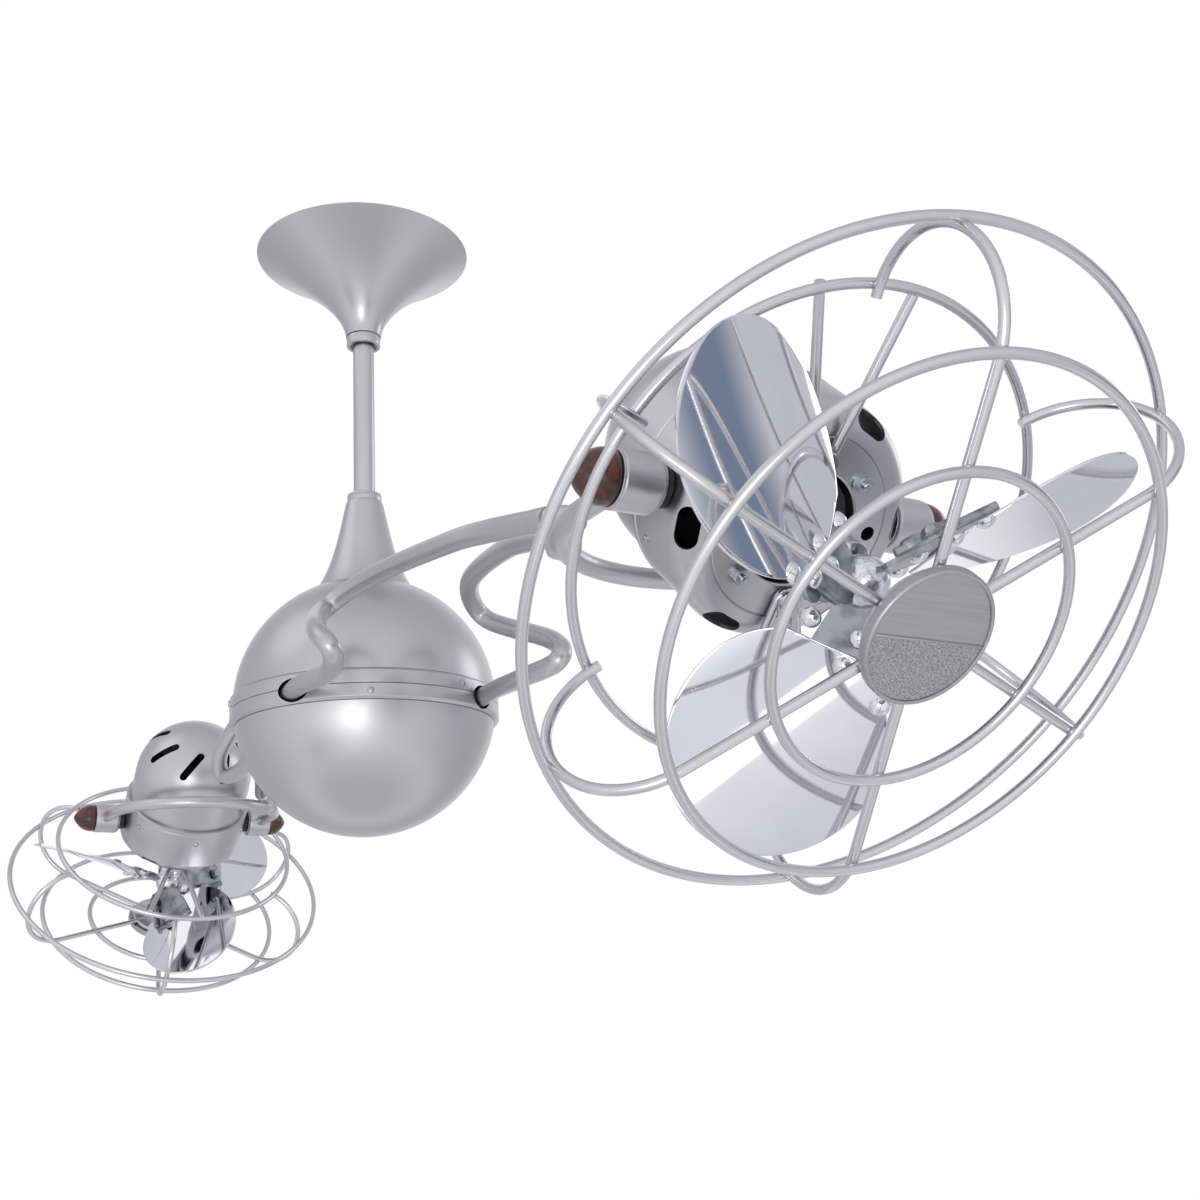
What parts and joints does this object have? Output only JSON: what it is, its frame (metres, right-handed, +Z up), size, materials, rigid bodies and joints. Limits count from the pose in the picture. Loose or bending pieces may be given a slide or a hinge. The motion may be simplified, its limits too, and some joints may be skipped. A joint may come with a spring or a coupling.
{
  "type": "ceiling fan",
  "caption": "Ceiling fan with a centre ball on a downrod and caged fan heads that tilt in yokes on bent arms.",
  "frame": {"origin": "on the ceiling, on the rod's axis, in the top face of the hanger bracket", "axes": "+Z up along the rod, +X along the arms towards head a"},
  "size_m": [1.6788, 0.3906, 0.6985],
  "materials": {
    "spun_nickel": "satin nickel plate on spun aluminium",
    "nickel_steel": "satin nickel plate on steel",
    "mirror_chrome": "polished",
    "burl_wood": "glossy lacquer on dark burl",
    "black_plastic": "moulded",
    "motor_enamel": "black enamel",
    "zinc_steel": "zinc plate",
    "cast_aluminium": "as cast",
    "slip_brass": "turned",
    "badge_nickel": "brushed and cast"
  },
  "bodies": {
    "ceiling_mount": {"hanger_bracket": "zinc_steel", "hanger_ball": "cast_aluminium", "hanger_pin": "zinc_steel", "downrod": "nickel_steel", "canopy": "nickel_steel", "canopy_collar": "nickel_steel", "coupling_collar": "nickel_steel", "spindle": "zinc_steel", "upper_bearing": "zinc_steel", "lower_bearing": "zinc_steel", "slip_ring": "slip_brass"},
    "turning_body": {"stem_cone": "nickel_steel", "upper_shell": "spun_nickel", "upper_band": "spun_nickel", "lower_band": "spun_nickel", "lower_shell": "spun_nickel", "arm_plate": "cast_aluminium", "brush_block": "black_plastic", "arm_a_left": "spun_nickel", "arm_a_right": "spun_nickel", "arm_b_left": "spun_nickel", "arm_b_right": "spun_nickel", "yoke_a": "nickel_steel", "yoke_b": "nickel_steel", "finial_a_left": "burl_wood", "finial_a_right": "burl_wood", "finial_b_left": "burl_wood", "finial_b_right": "burl_wood"},
    "head_a": {"rear_dome_a": "spun_nickel", "front_cup_a": "spun_nickel", "motor_core_a": "motor_enamel", "cage_a": "nickel_steel", "medallion_a": "badge_nickel", "pivot_pin_a_left": "zinc_steel", "pivot_pin_a_right": "zinc_steel", "pivot_washer_a_left": "black_plastic", "pivot_washer_a_right": "black_plastic", "strut_bolt_a_1": "zinc_steel", "strut_bolt_a_2": "zinc_steel"},
    "head_b": {"rear_dome_b": "spun_nickel", "front_cup_b": "spun_nickel", "motor_core_b": "motor_enamel", "cage_b": "nickel_steel", "medallion_b": "badge_nickel", "pivot_pin_b_left": "zinc_steel", "pivot_pin_b_right": "zinc_steel", "pivot_washer_b_left": "black_plastic", "pivot_washer_b_right": "black_plastic", "strut_bolt_b_1": "zinc_steel", "strut_bolt_b_2": "zinc_steel"},
    "rotor_a": {"hub_a": "mirror_chrome", "blade_a_1": "mirror_chrome", "blade_a_2": "mirror_chrome", "blade_a_3": "mirror_chrome"},
    "rotor_b": {"hub_b": "mirror_chrome", "blade_b_1": "mirror_chrome", "blade_b_2": "mirror_chrome", "blade_b_3": "mirror_chrome"}
  },
  "joints": [
    {"name": "body_turn", "type": "hinge", "parent": "ceiling_mount", "child": "turning_body", "pos_m": [0, 0, -0.466], "axis": [0, 0, 1], "continuous": true},
    {"name": "tilt_a", "type": "hinge", "parent": "turning_body", "child": "head_a", "pos_m": [0.622, 0, -0.481], "axis": [0, -1, 0], "range_deg": [-46.2, 130]},
    {"name": "tilt_b", "type": "hinge", "parent": "turning_body", "child": "head_b", "pos_m": [-0.622, 0, -0.481], "axis": [0, 1, 0], "range_deg": [-42.55, 133.45]},
    {"name": "spin_a", "type": "hinge", "parent": "head_a", "child": "rotor_a", "pos_m": [0.622, 0, -0.481], "axis": [0.7218, 0, -0.6921], "continuous": true},
    {"name": "spin_b", "type": "hinge", "parent": "head_b", "child": "rotor_b", "pos_m": [-0.622, 0, -0.481], "axis": [-0.6762, 0, -0.7367], "continuous": true}
  ]
}
